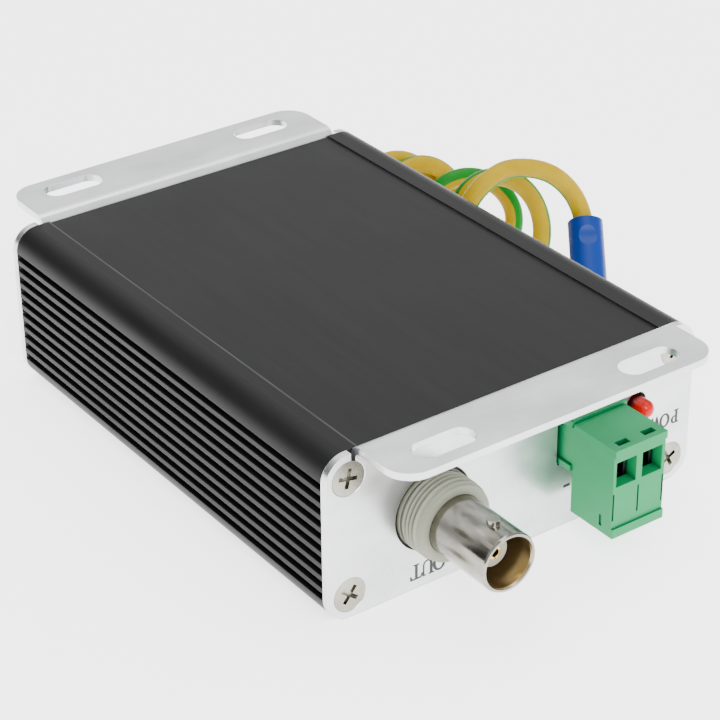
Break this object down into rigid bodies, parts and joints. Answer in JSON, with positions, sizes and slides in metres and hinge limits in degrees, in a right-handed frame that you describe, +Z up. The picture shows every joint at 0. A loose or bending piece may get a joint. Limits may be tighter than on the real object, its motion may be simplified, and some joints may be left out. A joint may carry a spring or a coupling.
{
  "type": "video surge protector",
  "caption": "Flat ribbed housing with slotted mounting flanges, a bayonet video jack and a pluggable power terminal at each end, and a coiled earth wire with a ring terminal.",
  "frame": {"origin": "middle of the housing's footprint, on the face it stands on in the picture", "axes": "+X across the housing, +Y from the OUT end towards the IN end, +Z up, towards the mounting flanges"},
  "size_m": [0.1006, 0.1387, 0.029],
  "materials": {
    "housing_black": "black anodised, satin",
    "plate_aluminium": "natural, fine satin",
    "screw_steel": "nickel plated",
    "barrel_nickel": "nickel plated, bright",
    "jack_white": "moulded nylon",
    "insulator_white": "smooth fluoropolymer",
    "contact_gold": "gold plated",
    "terminal_green": "moulded polyamide",
    "tinned": "tinned",
    "clamp_steel": "zinc plated",
    "board_green": "solder resist on glass fibre",
    "lamp_red": "tinted, clear moulding",
    "gas_tube_ceramic": "glazed ceramic",
    "varistor_blue": "dipped coating",
    "diode_black": "moulded epoxy",
    "resistor_tan": "lacquered",
    "choke_black": "ferrite and shrink tube",
    "fuse_yellow": "dipped coating",
    "grommet_black": "moulded rubber",
    "wire_yellow_green": "yellow PVC with a green stripe",
    "sleeve_blue": "moulded PVC",
    "ring_tinned": "tinned copper"
  },
  "bodies": {
    "surge_protector": {"housing_extrusion": "housing_black", "out_end_plate": "plate_aluminium", "in_end_plate": "plate_aluminium", "out_plate_screws": "screw_steel", "in_plate_screws": "screw_steel", "circuit_board": "board_green", "power_lamp": "lamp_red", "power_lamp_leads": "tinned", "gas_tubes": "gas_tube_ceramic", "varistors": "varistor_blue", "clamp_diodes": "diode_black", "series_resistors": "resistor_tan", "power_chokes": "choke_black", "resettable_fuses": "fuse_yellow", "lamp_resistor": "resistor_tan", "earth_grommet": "grommet_black", "earth_lead_inside": "wire_yellow_green", "earth_wire": "wire_yellow_green", "earth_wire_coil": "wire_yellow_green", "terminal_sleeve": "sleeve_blue", "ring_terminal": "ring_tinned", "out_jack_body": "jack_white", "out_jack_barrel": "barrel_nickel", "out_jack_insulator": "insulator_white", "out_jack_contact": "contact_gold", "out_header_shell": "terminal_green", "out_header_pins": "tinned", "in_jack_body": "jack_white", "in_jack_barrel": "barrel_nickel", "in_jack_insulator": "insulator_white", "in_jack_contact": "contact_gold", "in_header_shell": "terminal_green", "in_header_pins": "tinned"},
    "out_plug": {"out_plug_housing": "terminal_green", "out_plug_contacts": "tinned"},
    "out_clamp_screw_1": {"out_clamp_screw_1": "clamp_steel"},
    "out_clamp_cage_1": {"out_clamp_cage_1": "tinned"},
    "out_clamp_screw_2": {"out_clamp_screw_2": "clamp_steel"},
    "out_clamp_cage_2": {"out_clamp_cage_2": "tinned"},
    "in_plug": {"in_plug_housing": "terminal_green", "in_plug_contacts": "tinned"},
    "in_clamp_screw_1": {"in_clamp_screw_1": "clamp_steel"},
    "in_clamp_cage_1": {"in_clamp_cage_1": "tinned"},
    "in_clamp_screw_2": {"in_clamp_screw_2": "clamp_steel"},
    "in_clamp_cage_2": {"in_clamp_cage_2": "tinned"}
  },
  "joints": [
    {"name": "out_plug_slide", "type": "slide", "parent": "surge_protector", "child": "out_plug", "axis": [0, -1, 0], "range_m": [0, 0.01]},
    {"name": "out_clamp_screw_1_turn", "type": "hinge", "parent": "out_plug", "child": "out_clamp_screw_1", "pos_m": [0.01096, -0.0526, 0.0063], "axis": [0, 0, 1], "range_deg": [0, 1800]},
    {"name": "out_clamp_cage_1_slide", "type": "slide", "parent": "out_plug", "child": "out_clamp_cage_1", "axis": [0, 0, -1], "range_m": [0, 0.0025]},
    {"name": "out_clamp_screw_2_turn", "type": "hinge", "parent": "out_plug", "child": "out_clamp_screw_2", "pos_m": [0.01604, -0.0526, 0.0063], "axis": [0, 0, 1], "range_deg": [0, 1800]},
    {"name": "out_clamp_cage_2_slide", "type": "slide", "parent": "out_plug", "child": "out_clamp_cage_2", "axis": [0, 0, -1], "range_m": [0, 0.0025]},
    {"name": "in_plug_slide", "type": "slide", "parent": "surge_protector", "child": "in_plug", "axis": [0, 1, 0], "range_m": [0, 0.01]},
    {"name": "in_clamp_screw_1_turn", "type": "hinge", "parent": "in_plug", "child": "in_clamp_screw_1", "pos_m": [0.01096, 0.0526, 0.0063], "axis": [0, 0, 1], "range_deg": [0, 1800]},
    {"name": "in_clamp_cage_1_slide", "type": "slide", "parent": "in_plug", "child": "in_clamp_cage_1", "axis": [0, 0, -1], "range_m": [0, 0.0025]},
    {"name": "in_clamp_screw_2_turn", "type": "hinge", "parent": "in_plug", "child": "in_clamp_screw_2", "pos_m": [0.01604, 0.0526, 0.0063], "axis": [0, 0, 1], "range_deg": [0, 1800]},
    {"name": "in_clamp_cage_2_slide", "type": "slide", "parent": "in_plug", "child": "in_clamp_cage_2", "axis": [0, 0, -1], "range_m": [0, 0.0025]}
  ],
  "couplings": [
    {"joint": "out_clamp_screw_1_turn", "follows": "out_clamp_cage_1_slide", "rad_per_m": 12566},
    {"joint": "out_clamp_screw_2_turn", "follows": "out_clamp_cage_2_slide", "rad_per_m": 12566},
    {"joint": "in_clamp_screw_1_turn", "follows": "in_clamp_cage_1_slide", "rad_per_m": 12566},
    {"joint": "in_clamp_screw_2_turn", "follows": "in_clamp_cage_2_slide", "rad_per_m": 12566}
  ]
}
